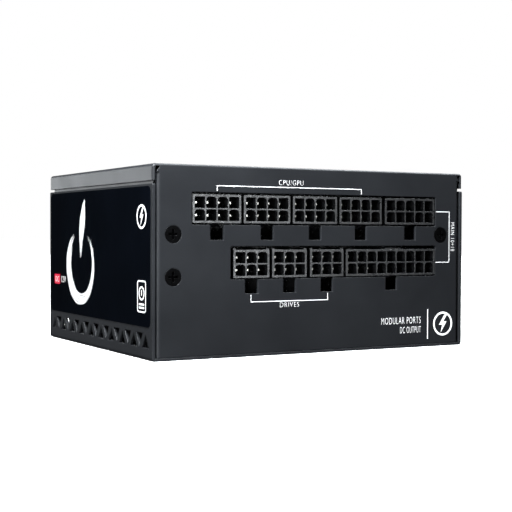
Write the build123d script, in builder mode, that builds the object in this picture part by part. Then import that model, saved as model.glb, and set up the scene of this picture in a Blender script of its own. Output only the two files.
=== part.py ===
from build123d import *
import math
import os

# Compact modular power supply unit, lying with its fan side down, in millimetres.
# +Z is up, the connector panel faces -Y, the mains inlet faces +Y, and the origin is the centre of the base.

os.makedirs("parts", exist_ok=True)

# ---------------------------------------------------------------- driving dimensions
case_width = 125.0
case_height = 63.5
case_depth = 100.0
sheet = 1.0
bend = 1.2
lip_height = 5.5
seam = 1.0
panel_inset = 1.6
slip = 0.1
countersink_gap = 0.1

side_x = case_width / 2
front_y = -case_depth / 2
rear_y = case_depth / 2
inside_front = front_y + sheet
inside_rear = rear_y - sheet
wall_top = case_height - lip_height - seam
panel_half = side_x - panel_inset
panel_bottom = sheet + slip

# Connector panel: two rows of sockets behind two long cut-outs with a latch notch under each socket
pitch = 4.2
cell = 3.7
key_corner = 1.1
pin = 1.07
socket_edge = 5.3
socket_height = 9.4
socket_depth = 12.8
cell_depth = 10.2
lug_width = 3.4
lug_drop = 1.1
upper_row_z = 49.2
lower_row_z = 31.0
upper_cutout = ((-48.6, 50.25), (43.9, 54.6))
lower_cutout = ((-34.4, 50.25), (25.85, 36.9))
notch_width = 5.0
upper_notch_z = 38.95
lower_notch_z = 21.1
board_front_y = front_y + socket_depth
board_thickness = 1.6
panel_screws = ((-55.2, 40.8), (-55.2, 27.0), (52.6, 40.8))

# Countersunk screws: radius of the head, radius of the shank, length
panel_screw_size = (2.9, 1.5, 7.5)
cover_screw_size = (2.8, 1.5, 6.0)
fan_screw_size = (3.4, 2.05, 9.0)

# name, columns, centre x, centre z, top cells, bottom cells (S square, D with rounded top corners)
eight = ("SDDS", "DSSD")
six = ("SDD", "DDS")
sockets = [
    ("eight_pin_socket_1", 4, -39.4, upper_row_z, *eight),
    ("eight_pin_socket_2", 4, -20.5, upper_row_z, *eight),
    ("eight_pin_socket_3", 4, -1.55, upper_row_z, *eight),
    ("eight_pin_socket_4", 4, 17.35, upper_row_z, *eight),
    ("ten_pin_socket", 5, 38.75, upper_row_z, "SDDSS", "DSSDD"),
    ("six_pin_socket_1", 3, -26.45, lower_row_z, *six),
    ("six_pin_socket_2", 3, -11.7, lower_row_z, *six),
    ("six_pin_socket_3", 3, 3.3, lower_row_z, *six),
    ("eighteen_pin_socket", 9, 30.6, lower_row_z, "SDDSSDDSS", "DSSDDSSDD"),
]

# Side vents: one row of triangles, pointing up and down by turns
vent_base = 5.6
vent_height = 4.4
vent_pitch = 9.88
vent_row_z = 4.0
vent_first_y = front_y + 5.4
vent_count = 10

# Fan
fan_size = 92.0
fan_depth = 15.0
fan_hole_spacing = 82.5
fan_bore = 44.0
fan_base_z = 2 * sheet
fan_top_z = fan_base_z + fan_depth
hub_radius = 17.0
blade_tip = 43.0
blade_count = 9
shaft_radius = 1.5

# Rear panel
inlet_x, inlet_z = 40.0, 34.0
inlet_flange = (31.0, 24.4)
inlet_body = (27.0, 19.8)
switch_x, switch_z = 14.0, 34.0
switch_flange = (15.0, 21.0)
switch_body = (12.6, 19.0)
opening_play = 0.4
mount_x, mount_z = 56.5, (6.0, 57.5)
mount_radius = 1.75
rear_vent_rows = 6
rear_vent_columns = 10
rear_vent_size = (6.8, 5.4)
rear_vent_start = (-51.0, 13.4)
rear_vent_step = (5.8, 7.4)
earth_stud = (55.8, 16.0)
stud_radius = 1.5

# Main board, hung under the top plate on four spacers
board_z = 57.0
board_half = 58.0
board_y = (board_front_y + board_thickness + 1.1, 46.5)
board_holes = ((-54.0, -29.0), (54.0, -29.0), (-54.0, 41.0), (54.0, 41.0))
board_screw_radius = 1.5
board_screw_head = (2.8, 1.8)
spacer_radius = 3.0
sheet_z = (60.3, 60.7)


# ---------------------------------------------------------------- shared shapes
def slab(xs, ys, zs, mode=Mode.ADD):
    """A block between two corners, in the part being built."""
    middle = ((xs[0] + xs[1]) / 2, (ys[0] + ys[1]) / 2, (zs[0] + zs[1]) / 2)
    with Locations(middle):
        Box(xs[1] - xs[0], ys[1] - ys[0], zs[1] - zs[0], mode=mode)


def rod(start, direction, radius, length, mode=Mode.ADD):
    """A cylinder from a point along a direction, in the part being built."""
    with Locations(Plane(origin=start, z_dir=direction).location):
        Cylinder(radius, length, align=(Align.CENTER, Align.CENTER, Align.MIN), mode=mode)


def taper(start, direction, first, last, length, mode=Mode.ADD):
    """A cone frustum from a point along a direction, in the part being built."""
    with Locations(Plane(origin=start, z_dir=direction).location):
        Cone(first, last, length, align=(Align.CENTER, Align.CENTER, Align.MIN), mode=mode)


def front_plane(y):
    """An upright plane at a depth y: local x is X and local y is Z."""
    return Plane.XZ.offset(-y)


def triangle(base, height, up=True):
    """A triangle about the middle of its own height, in the sketch being built."""
    way = 1 if up else -1
    points = [(-base / 2, -way * height / 2), (base / 2, -way * height / 2), (0, way * height / 2)]
    Polygon(*points, align=None)


def countersunk_screw(start, direction, head, shank, length):
    """A countersunk screw with a cross recess; start is the middle of its head's face."""
    head_depth = head - shank
    taper(start, direction, head, shank, head_depth)
    rod(start, direction, shank, length)
    with BuildSketch(Plane(origin=start, z_dir=direction)) as cross:
        Rectangle(head * 1.15, head * 0.24)
        Rectangle(head * 0.24, head * 1.15)
    extrude(cross.sketch, amount=head_depth * 0.8, mode=Mode.SUBTRACT)


def wire(points, radius, bend_share=0.45):
    """A round wire along straight runs joined by arcs as large as the runs allow."""
    path_points = [Vector(*p) for p in points]
    radii = []
    for before, here, after in zip(path_points, path_points[1:], path_points[2:]):
        turn = math.radians((here - before).get_angle(after - here))
        shorter = min((here - before).length, (after - here).length)
        radii.append(bend_share * shorter / math.tan(turn / 2))
    print("wire radii", [round(r, 1) for r in radii], "diameter", 2 * radius)
    with BuildLine() as route:
        FilletPolyline(*path_points, radius=radii)
    with BuildSketch(Plane(origin=route.line @ 0, z_dir=route.line % 0)) as section:
        Circle(radius)
    sweep(section.sketch, path=route.line)


# ---------------------------------------------------------------- case
def bent_panel(face_y, inward, flange_depth, bottom, top):
    """An end panel with both side edges bent inward, between two heights."""
    with BuildSketch(Plane.XY.offset(bottom)) as section:
        with Locations((0, face_y + inward * flange_depth / 2)):
            Rectangle(2 * panel_half, flange_depth)
        fillet(vertices().filter_by_position(Axis.Y, face_y - slip, face_y + slip), bend)
        with Locations((0, face_y + inward * (flange_depth + sheet) / 2)):
            Rectangle(2 * (panel_half - sheet), flange_depth - sheet, mode=Mode.SUBTRACT)
    extrude(section.sketch, amount=top - bottom)


flange_bottom = 50.0
flange_reach = 48.0
corner_relief_z = 60.6
relief_top = case_height - 0.9
relief_width = 1.0
relief_drop = 1.4
panel_flange = (9.0, 3.0)
wall_corner = 0.6
tab_x = (47.0, 59.0)
tab_depth = 10.0
cover_screw_x, cover_screw_y = 53.0, 44.5

with BuildPart() as chassis_shell:
    # Top plate with a short lip down each side
    with BuildSketch(front_plane(rear_y)):
        with Locations((0, case_height - lip_height / 2)):
            Rectangle(case_width, lip_height)
        fillet(vertices().group_by(Axis.Y)[-1], bend)
        with Locations((0, case_height - sheet - (lip_height - sheet) / 2)):
            Rectangle(case_width - 2 * sheet, lip_height - sheet, mode=Mode.SUBTRACT)
    extrude(amount=case_depth)
    # Inner flange below each lip, stepped in by one sheet, which the cover's wall slides over
    flange_outer = side_x - sheet - slip
    lip_bottom = case_height - lip_height
    for side in (-1, 1):
        xs = sorted((side * flange_outer, side * (flange_outer - sheet)))
        slab(xs, (-flange_reach, flange_reach), (flange_bottom, lip_bottom + sheet))
        xs = sorted((side * (side_x - sheet), side * (flange_outer - sheet)))
        slab(xs, (-flange_reach, flange_reach), (lip_bottom, lip_bottom + sheet))
    # Connector panel and rear panel, each with side flanges and two tabs for the cover's screws
    for face_y, inward in ((front_y, 1), (rear_y, -1)):
        bent_panel(face_y, inward, panel_flange[0], panel_bottom, flange_bottom - 2 * sheet)
        bent_panel(face_y, inward, panel_flange[1], flange_bottom - 2 * sheet, corner_relief_z)
        ys = sorted((face_y, face_y + inward * sheet))
        slab((-panel_half, panel_half), ys, (corner_relief_z, case_height - sheet))
        for side in (-1, 1):
            xs = sorted((side * tab_x[0], side * tab_x[1]))
            tab_y = sorted((face_y, face_y + inward * tab_depth))
            slab(xs, tab_y, (panel_bottom, panel_bottom + sheet))
            hole = (side * cover_screw_x, inward * -cover_screw_y, panel_bottom + sheet)
            rod(hole, (0, 0, 1), 2.4, 1.2)
            rod((hole[0], hole[1], 0), (0, 0, 1), 1.6, 6, mode=Mode.SUBTRACT)
            taper((hole[0], hole[1], panel_bottom), (0, 0, 1), 2.1, 1.6, 0.5, mode=Mode.SUBTRACT)
    # Bent edges along the top of both panels
    top_edges = edges().filter_by(Axis.X).group_by(Axis.Z)[-1]
    fillet(top_edges, bend - 0.4)
    # Triangular relief in each top corner of the connector panel
    with BuildSketch(front_plane(front_y - 1)):
        for side in (-1, 1):
            Polygon(
                (side * (panel_half + 0.4), relief_top),
                (side * (panel_half - relief_width), relief_top),
                (side * (panel_half - 0.2), relief_top - relief_drop),
                (side * (panel_half + 0.4), relief_top - relief_drop),
                align=None,
            )
    extrude(amount=-(sheet + 1.3), mode=Mode.SUBTRACT)
    # Socket cut-outs and latch notches
    with BuildSketch(front_plane(front_y - 1)):
        for (x0, x1), (z0, z1) in (upper_cutout, lower_cutout):
            with Locations(((x0 + x1) / 2, (z0 + z1) / 2)):
                RectangleRounded(x1 - x0, z1 - z0, 0.5)
        for _, _, centre_x, centre_z, _, _ in sockets:
            upper = centre_z == upper_row_z
            low = upper_notch_z if upper else lower_notch_z
            high = (upper_cutout if upper else lower_cutout)[1][0] + 0.5
            with Locations((centre_x, (low + high) / 2)):
                RectangleRounded(notch_width, high - low, 0.2)
    extrude(amount=-(sheet + 1.5), mode=Mode.SUBTRACT)
    for x, z in panel_screws:
        taper((x, front_y, z), (0, 1, 0), 3.0, 1.6, 1.4, mode=Mode.SUBTRACT)
    # Rear openings for the mains inlet and the rocker switch
    with BuildSketch(front_plane(inside_rear - 1)):
        with Locations((inlet_x, inlet_z)):
            RectangleRounded(inlet_body[0] + opening_play, inlet_body[1] + opening_play, 0.8)
        with Locations((switch_x, switch_z)):
            RectangleRounded(switch_body[0] + opening_play, switch_body[1] + opening_play, 0.6)
    extrude(amount=-(sheet + 2), mode=Mode.SUBTRACT)
    # Rear vents: rows of triangles on the free part of the panel
    with BuildSketch(front_plane(inside_rear - 1)):
        for row in range(rear_vent_rows):
            for column in range(rear_vent_columns):
                x = rear_vent_start[0] + column * rear_vent_step[0]
                z = rear_vent_start[1] + row * rear_vent_step[1]
                with Locations((x, z)):
                    triangle(*rear_vent_size, up=(row + column) % 2 == 0)
    extrude(amount=-(sheet + 2), mode=Mode.SUBTRACT)
    # Drawn collars of the four mounting holes, and the earth stud
    for side in (-1, 1):
        for z in mount_z:
            reach = 2.2 if z < case_height / 2 else 1.0
            rod((side * mount_x, inside_rear, z), (0, -1, 0), 2.9, reach)
            rod((side * mount_x, rear_y + 1, z), (0, -1, 0), mount_radius, 6, mode=Mode.SUBTRACT)
    rod((earth_stud[0], inside_rear, earth_stud[1]), (0, -1, 0), stud_radius, 5.4)
chassis_shell.part.label = "chassis_shell"
export_step(chassis_shell.part, "parts/chassis_shell.step")

with BuildPart() as fan_cover:
    # Bottom plate and two side walls, one bent section
    with BuildSketch(front_plane(rear_y)):
        with Locations((0, wall_top / 2)):
            Rectangle(case_width, wall_top)
        fillet(vertices().group_by(Axis.Y)[0], bend)
        with Locations((0, sheet + wall_top / 2)):
            Rectangle(case_width - 2 * sheet, wall_top, mode=Mode.SUBTRACT)
    extrude(amount=case_depth)
    fillet(edges().filter_by(Axis.X).filter_by(lambda e: e.center().Z > wall_top - 0.5
                                               and abs(abs(e.center().Y) - rear_y) < slip), wall_corner)
    rod((0, 0, -1), (0, 0, 1), fan_bore, 3, mode=Mode.SUBTRACT)
    # One row of triangular vents low in both walls
    with BuildSketch(Plane.YZ.offset(-side_x - 1)):
        for index in range(2 * vent_count - 1):
            up = index % 2 == 0
            lift = 0 if up else 0.35
            y = vent_first_y + index * vent_pitch / 2
            with Locations((y, vent_row_z + vent_height / 2 + lift)):
                triangle(vent_base, vent_height, up)
    extrude(amount=case_width + 2, mode=Mode.SUBTRACT)
    # Countersinks for the cover's and the fan's screws
    for x in (-cover_screw_x, cover_screw_x):
        for y in (-cover_screw_y, cover_screw_y):
            taper((x, y, 0), (0, 0, 1), 3.0, 2.0, sheet, mode=Mode.SUBTRACT)
    for x in (-fan_hole_spacing / 2, fan_hole_spacing / 2):
        for y in (-fan_hole_spacing / 2, fan_hole_spacing / 2):
            taper((x, y, 0), (0, 0, 1), 3.6, 2.6, sheet, mode=Mode.SUBTRACT)
fan_cover.part.label = "fan_cover"
export_step(fan_cover.part, "parts/fan_cover.step")

with BuildPart() as cover_screws:
    for x in (-cover_screw_x, cover_screw_x):
        for y in (-cover_screw_y, cover_screw_y):
            countersunk_screw((x, y, countersink_gap), (0, 0, 1), *cover_screw_size)
cover_screws.part.label = "cover_screws"
export_step(cover_screws.part, "parts/cover_screws.step")

# Stamped guard: a triangular lattice inside the fan's opening
guard_half = 45.0
guard_base = 9.8
guard_height = 8.4
guard_row = 10.2
guard_column = 6.4
with BuildPart() as fan_guard:
    slab((-guard_half, guard_half), (-guard_half, guard_half), (sheet, 2 * sheet))
    fillet(edges().filter_by(Axis.Z), 3.0)
    with BuildSketch(Plane.XY.offset(sheet - 0.5), mode=Mode.PRIVATE) as lattice:
        for row in range(-4, 5):
            for column in range(-7, 8):
                with Locations((column * guard_column, row * guard_row)):
                    triangle(guard_base, guard_height, up=(row + column) % 2 == 0)
        Circle(fan_bore - 1.5, mode=Mode.INTERSECT)
        Circle(hub_radius - 6.0, mode=Mode.SUBTRACT)
    openings = [face for face in lattice.sketch.faces() if face.area > 7.0]
    extrude(openings, amount=sheet + 1, mode=Mode.SUBTRACT)
    for x in (-fan_hole_spacing / 2, fan_hole_spacing / 2):
        for y in (-fan_hole_spacing / 2, fan_hole_spacing / 2):
            taper((x, y, sheet), (0, 0, 1), 2.6, 2.2, sheet, mode=Mode.SUBTRACT)
fan_guard.part.label = "fan_guard"
export_step(fan_guard.part, "parts/fan_guard.step")

# ---------------------------------------------------------------- fan
strut_z = fan_top_z - 2.4
tube_outer = 4.0
tube_inner = 3.0
cup_wall = 1.2
cup_floor = 1.5
rotor_low = fan_base_z + 1.2
rotor_high = strut_z - 0.9

with BuildPart() as fan_frame:
    half = fan_size / 2
    slab((-half, half), (-half, half), (fan_base_z, fan_top_z))
    fillet(edges().filter_by(Axis.Z), 4.0)
    rod((0, 0, fan_base_z - 1), (0, 0, 1), fan_bore, fan_depth + 2, mode=Mode.SUBTRACT)
    chamfer(edges().filter_by(GeomType.CIRCLE).filter_by(lambda e: e.radius > 40), 0.8)
    # Hub plate, its four arms and the bearing tube
    rod((0, 0, strut_z), (0, 0, 1), hub_radius - 0.5, fan_top_z - strut_z)
    with BuildSketch(Plane.XY.offset(strut_z)):
        with PolarLocations((hub_radius + fan_bore) / 2 + 0.5, 4, start_angle=35):
            Rectangle(fan_bore - hub_radius + 3.0, 4.0)
    extrude(amount=fan_top_z - strut_z)
    rod((0, 0, rotor_low + 3.4), (0, 0, 1), tube_outer, strut_z - rotor_low - 3.4)
    rod((0, 0, rotor_low), (0, 0, 1), tube_inner, strut_z - rotor_low - 0.4, mode=Mode.SUBTRACT)
    with GridLocations(fan_hole_spacing, fan_hole_spacing, 2, 2):
        Cylinder(2.15, 3 * fan_depth, mode=Mode.SUBTRACT)
fan_frame.part.label = "fan_frame"
export_step(fan_frame.part, "parts/fan_frame.step")

with BuildPart() as fan_rotor:
    # Swept blades, each lofted between a steep root and a flat tip, trimmed to the hub and the tip circle
    blade_low = rotor_low + 0.2
    blade_rise = (7.2, 9.0)
    blade_chord = (10.0, 22.0)
    blade_radii = (hub_radius - 2.0, blade_tip + 2.0)
    blade_thickness = 1.3
    blade_lean = 8.0
    for index in range(blade_count):
        turn = index * 360 / blade_count
        outlines = []
        for radius, chord, rise, lean in zip(blade_radii, blade_chord, blade_rise, (0, blade_lean)):
            spoke = Plane.XY.rotated((0, 0, turn))
            out = spoke.x_dir
            across = spoke.y_dir
            station = Plane(origin=out * radius + across * lean, x_dir=across, z_dir=out)
            with BuildSketch(station, mode=Mode.PRIVATE) as outline:
                with BuildLine():
                    left = (-chord / 2, blade_low)
                    right = (chord / 2, blade_low + rise)
                    bow = (0, blade_low + rise / 2 - 0.9)
                    lift = (0, blade_thickness)
                    low_curve = ThreePointArc(left, bow, right)
                    high_curve = ThreePointArc(
                        (left[0], left[1] + lift[1]),
                        (bow[0], bow[1] + lift[1]),
                        (right[0], right[1] + lift[1]),
                    )
                    Line(low_curve @ 0, high_curve @ 0)
                    Line(low_curve @ 1, high_curve @ 1)
                make_face()
            outlines.append(outline.sketch)
        loft(outlines)
    rod((0, 0, 0), (0, 0, 1), hub_radius - 1.0, 2 * fan_depth, mode=Mode.SUBTRACT)
    with BuildSketch(Plane.XY):
        Circle(blade_tip)
    extrude(amount=2 * fan_depth, mode=Mode.INTERSECT)
    # Hub cup, open upwards, with a boss for the shaft
    rod((0, 0, rotor_low), (0, 0, 1), hub_radius, rotor_high - rotor_low)
    rod((0, 0, rotor_low + cup_floor), (0, 0, 1), hub_radius - cup_wall, fan_depth, mode=Mode.SUBTRACT)
    rod((0, 0, rotor_low + cup_floor), (0, 0, 1), 3.2, 1.2)
    rod((0, 0, rotor_low + 0.8), (0, 0, 1), shaft_radius, 3.0, mode=Mode.SUBTRACT)
fan_rotor.part.label = "fan_rotor"
export_step(fan_rotor.part, "parts/fan_rotor.step")

with BuildPart() as fan_shaft:
    rod((0, 0, rotor_low + 0.8), (0, 0, 1), shaft_radius, 10.0)
    chamfer(edges().filter_by(GeomType.CIRCLE).sort_by(Axis.Z)[-1], 0.3)
fan_shaft.part.label = "fan_shaft"
export_step(fan_shaft.part, "parts/fan_shaft.step")

with BuildPart() as fan_magnet:
    rod((0, 0, rotor_low + 2.2), (0, 0, 1), hub_radius - cup_wall, 7.6)
    rod((0, 0, rotor_low), (0, 0, 1), hub_radius - cup_wall - 1.8, 12, mode=Mode.SUBTRACT)
fan_magnet.part.label = "fan_magnet"
export_step(fan_magnet.part, "parts/fan_magnet.step")

with BuildPart() as fan_bearing:
    rod((0, 0, rotor_low + 3.6), (0, 0, 1), tube_inner, 7.0)
    rod((0, 0, rotor_low), (0, 0, 1), shaft_radius + 0.03, 14, mode=Mode.SUBTRACT)
fan_bearing.part.label = "fan_bearing"
export_step(fan_bearing.part, "parts/fan_bearing.step")

# Stator: four poles round the bearing tube, each with its own winding
pole_count = 4
stator_radius = hub_radius - cup_wall - 2.4
stator_low = rotor_low + 4.2
stator_height = 4.0
arm_width = 3.0
with BuildPart() as fan_stator:
    rod((0, 0, stator_low), (0, 0, 1), stator_radius, stator_height)
    rod((0, 0, stator_low - 1), (0, 0, 1), stator_radius - 1.6, stator_height + 2, mode=Mode.SUBTRACT)
    rod((0, 0, stator_low), (0, 0, 1), tube_outer + 1.4, stator_height)
    for index in range(pole_count):
        with BuildSketch(Plane.XY.offset(stator_low).rotated((0, 0, 90 * index))):
            with Locations((stator_radius / 2 + 1.5, 0)):
                Rectangle(stator_radius - 3.4, arm_width)
        extrude(amount=stator_height)
    with BuildSketch(Plane.XY.offset(stator_low - 1)):
        with PolarLocations(stator_radius, pole_count, start_angle=45):
            Rectangle(5.0, 2.4)
    extrude(amount=stator_height + 2, mode=Mode.SUBTRACT)
    rod((0, 0, stator_low - 1), (0, 0, 1), tube_outer, stator_height + 2, mode=Mode.SUBTRACT)
fan_stator.part.label = "fan_stator"
export_step(fan_stator.part, "parts/fan_stator.step")

with BuildPart() as fan_windings:
    coil_inner = tube_outer + 2.2
    coil_outer = stator_radius - 2.0
    for index in range(pole_count):
        with BuildSketch(Plane.XY.offset(stator_low - 1.0).rotated((0, 0, 90 * index))):
            with Locations(((coil_inner + coil_outer) / 2, 0)):
                RectangleRounded(coil_outer - coil_inner, arm_width + 3.4, 0.8)
        extrude(amount=stator_height + 2.0)
        with BuildSketch(Plane.XY.offset(stator_low).rotated((0, 0, 90 * index))):
            with Locations((stator_radius / 2 + 1.5, 0)):
                Rectangle(stator_radius, arm_width)
        extrude(amount=stator_height, mode=Mode.SUBTRACT)
fan_windings.part.label = "fan_windings"
export_step(fan_windings.part, "parts/fan_windings.step")

with BuildPart() as fan_circuit:
    rod((0, 0, rotor_high - 1.0), (0, 0, 1), 12.5, 0.8)
    rod((0, 0, 0), (0, 0, 1), tube_outer + 0.05, 2 * fan_depth, mode=Mode.SUBTRACT)
    slab((-6.5, -4.9), (5.4, 8.2), (rotor_high - 0.2, rotor_high + 0.5))
fan_circuit.part.label = "fan_circuit"
export_step(fan_circuit.part, "parts/fan_circuit.step")

with BuildPart() as fan_screws:
    for x in (-fan_hole_spacing / 2, fan_hole_spacing / 2):
        for y in (-fan_hole_spacing / 2, fan_hole_spacing / 2):
            countersunk_screw((x, y, countersink_gap), (0, 0, 1), *fan_screw_size)
fan_screws.part.label = "fan_screws"
export_step(fan_screws.part, "parts/fan_screws.step")

with BuildPart() as fan_lead:
    for shift in (0.0, 1.7):
        wire(
            [
                (-46.0, -22.0 + shift, 13.0),
                (-51.5, -22.0 + shift, 13.0),
                (-56.6, -17.0 + shift, 19.0),
                (-57.8, -7.0 + shift, 28.0),
                (-57.6, 4.0 + shift, 36.0),
                (-55.4, 13.0 + shift, 40.0),
                (-54.0, 17.0 + shift, 44.0),
                (-54.0, 17.0 + shift, 51.0),
            ],
            0.8,
        )
fan_lead.part.label = "fan_lead"
export_step(fan_lead.part, "parts/fan_lead.step")

with BuildPart() as fan_plug:
    slab((-56.5, -51.5), (15.0, 21.0), (51.0, board_z))
    chamfer(edges().filter_by(Axis.Z), 0.5)
fan_plug.part.label = "fan_plug"
export_step(fan_plug.part, "parts/fan_plug.step")

# ---------------------------------------------------------------- connector panel
for name, columns, centre_x, centre_z, top_cells, bottom_cells in sockets:
    socket_width = pitch * (columns - 1) + socket_edge
    socket_bottom = centre_z - socket_height / 2
    with BuildPart() as socket:
        with BuildSketch(front_plane(front_y)):
            with Locations((centre_x, centre_z)):
                RectangleRounded(socket_width, socket_height, 0.35)
        extrude(amount=-socket_depth)
        # Cells, open to the front: square ones, and ones with rounded top corners that key the plug
        with BuildSketch(front_plane(front_y - 0.5)):
            for row_z, kinds in ((pitch / 2, top_cells), (-pitch / 2, bottom_cells)):
                for column, kind in enumerate(kinds):
                    x = centre_x + (column - (columns - 1) / 2) * pitch
                    with BuildSketch(mode=Mode.PRIVATE) as opening:
                        Rectangle(cell, cell)
                        if kind == "D":
                            fillet(opening.vertices().group_by(Axis.Y)[-1], key_corner)
                    with Locations((x, centre_z + row_z)):
                        add(opening.sketch)
        extrude(amount=-(cell_depth + 0.5), mode=Mode.SUBTRACT)
        # A hole for each pin through the floor of its cell
        with BuildSketch(front_plane(front_y)):
            with Locations((centre_x, centre_z)):
                with GridLocations(pitch, pitch, columns, 2):
                    Rectangle(pin + 0.1, pin + 0.1)
        extrude(amount=-socket_depth, mode=Mode.SUBTRACT)
        # Latch lug under the socket: a ramp and a square back
        with BuildSketch(Plane.YZ.offset(centre_x - lug_width / 2)):
            Polygon(
                (front_y + 1.5, socket_bottom + 0.3),
                (front_y + 1.5, socket_bottom),
                (front_y + 4.4, socket_bottom - lug_drop),
                (front_y + 5.2, socket_bottom - lug_drop),
                (front_y + 5.2, socket_bottom + 0.3),
                align=None,
            )
        extrude(amount=lug_width)
        # Keying ribs along the top of the lower sockets
        if centre_z == lower_row_z:
            top = centre_z + socket_height / 2
            ribs = (-2.6, 3.4) if columns == 9 else (-socket_width / 2, socket_width / 2 - 1.1)
            for start in ribs:
                length = 6.0 if columns == 9 and start < 0 else 1.1
                begin = centre_x + start
                slab((begin, begin + length), (front_y + 0.4, front_y + 9), (top - 0.3, top + 0.45))
    socket.part.label = name
    export_step(socket.part, "parts/" + name + ".step")

pin_front_y = front_y + 3.0
pin_back_y = board_front_y + board_thickness + 2.4
pin_tip = 0.35
with BuildPart() as contact_pins:
    with BuildSketch(front_plane(pin_front_y + pin_tip)) as pin_grid:
        for _, columns, centre_x, centre_z, _, _ in sockets:
            with Locations((centre_x, centre_z)):
                with GridLocations(pitch, pitch, columns, 2):
                    Rectangle(pin, pin)
    extrude(amount=-(pin_back_y - pin_front_y - pin_tip))
    extrude(pin_grid.sketch, amount=pin_tip, taper=28)
contact_pins.part.label = "contact_pins"
export_step(contact_pins.part, "parts/contact_pins.step")

modular_board_z = (18.5, 60.5)
with BuildPart() as modular_board:
    slab((-57.5, 57.5), (board_front_y, board_front_y + board_thickness), modular_board_z)
    with BuildSketch(front_plane(board_front_y - 1)):
        for _, columns, centre_x, centre_z, _, _ in sockets:
            with Locations((centre_x, centre_z)):
                with GridLocations(pitch, pitch, columns, 2):
                    Circle(0.85)
        with Locations(*panel_screws):
            Circle(2.0)
    extrude(amount=-4, mode=Mode.SUBTRACT)
modular_board.part.label = "modular_board"
export_step(modular_board.part, "parts/modular_board.step")

with BuildPart() as board_spacers:
    for x, z in panel_screws:
        with BuildSketch(front_plane(inside_front)):
            with Locations((x, z)):
                RegularPolygon(3.2, 6)
        extrude(amount=-(board_front_y - inside_front))
        rod((x, board_front_y, z), (0, 1, 0), 1.9, board_thickness)
        rod((x, front_y - 1, z), (0, 1, 0), 1.55, 10, mode=Mode.SUBTRACT)
        taper((x, inside_front, z), (0, 1, 0), 2.1, 1.5, 0.6, mode=Mode.SUBTRACT)
board_spacers.part.label = "modular_board_spacers"
export_step(board_spacers.part, "parts/modular_board_spacers.step")

with BuildPart() as panel_screw_set:
    for x, z in panel_screws:
        countersunk_screw((x, front_y, z), (0, 1, 0), *panel_screw_size)
panel_screw_set.part.label = "panel_screws"
export_step(panel_screw_set.part, "parts/panel_screws.step")

# Copper straps from the main board's edge to the back of the modular board
board_back_y = board_front_y + board_thickness
bar_x = (-46.0, -31.0, -16.0, 2.0, 18.0)
bar_half = 4.0
bar_thickness = 1.0
with BuildPart() as bus_bars:
    for x in bar_x:
        bar_xs = (x - bar_half, x + bar_half)
        slab(bar_xs, (board_back_y, board_back_y + bar_thickness), (53.2, board_z))
        slab(bar_xs, (board_back_y, board_back_y + 6.0), (board_z - bar_thickness, board_z))
bus_bars.part.label = "bus_bars"
export_step(bus_bars.part, "parts/bus_bars.step")

# ---------------------------------------------------------------- main board and its fixings
with BuildPart() as main_board:
    slab((-board_half, board_half), board_y, (board_z, board_z + board_thickness))
    fillet(edges().filter_by(Axis.Z), 2.0)
    for x, y in board_holes:
        rod((x, y, board_z - 1), (0, 0, 1), board_screw_radius + 0.2, 4, mode=Mode.SUBTRACT)
main_board.part.label = "main_board"
export_step(main_board.part, "parts/main_board.step")

with BuildPart() as insulating_sheet:
    slab((-board_half - 0.6, board_half + 0.6), (board_y[0] - 0.7, board_y[1] + 0.3), sheet_z)
    for x, y in board_holes:
        rod((x, y, board_z + 1), (0, 0, 1), spacer_radius + 0.6, 4, mode=Mode.SUBTRACT)
insulating_sheet.part.label = "insulating_sheet"
export_step(insulating_sheet.part, "parts/insulating_sheet.step")

with BuildPart() as main_board_spacers:
    spacer_bottom = board_z + board_thickness
    for x, y in board_holes:
        rod((x, y, spacer_bottom), (0, 0, 1), spacer_radius, case_height - sheet - spacer_bottom)
        rod((x, y, spacer_bottom), (0, 0, 1), board_screw_radius + 0.05, 3.2, mode=Mode.SUBTRACT)
main_board_spacers.part.label = "main_board_spacers"
export_step(main_board_spacers.part, "parts/main_board_spacers.step")

with BuildPart() as main_board_screws:
    for x, y in board_holes:
        rod((x, y, board_z - board_screw_head[1]), (0, 0, 1), *board_screw_head)
        rod((x, y, board_z - 1.0), (0, 0, 1), board_screw_radius, 5.2)
        slab((x - 1.6, x + 1.6), (y - 0.35, y + 0.35), (board_z - 1.9, board_z - 0.9), Mode.SUBTRACT)
        slab((x - 0.35, x + 0.35), (y - 1.6, y + 1.6), (board_z - 1.9, board_z - 0.9), Mode.SUBTRACT)
main_board_screws.part.label = "main_board_screws"
export_step(main_board_screws.part, "parts/main_board_screws.step")

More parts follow.
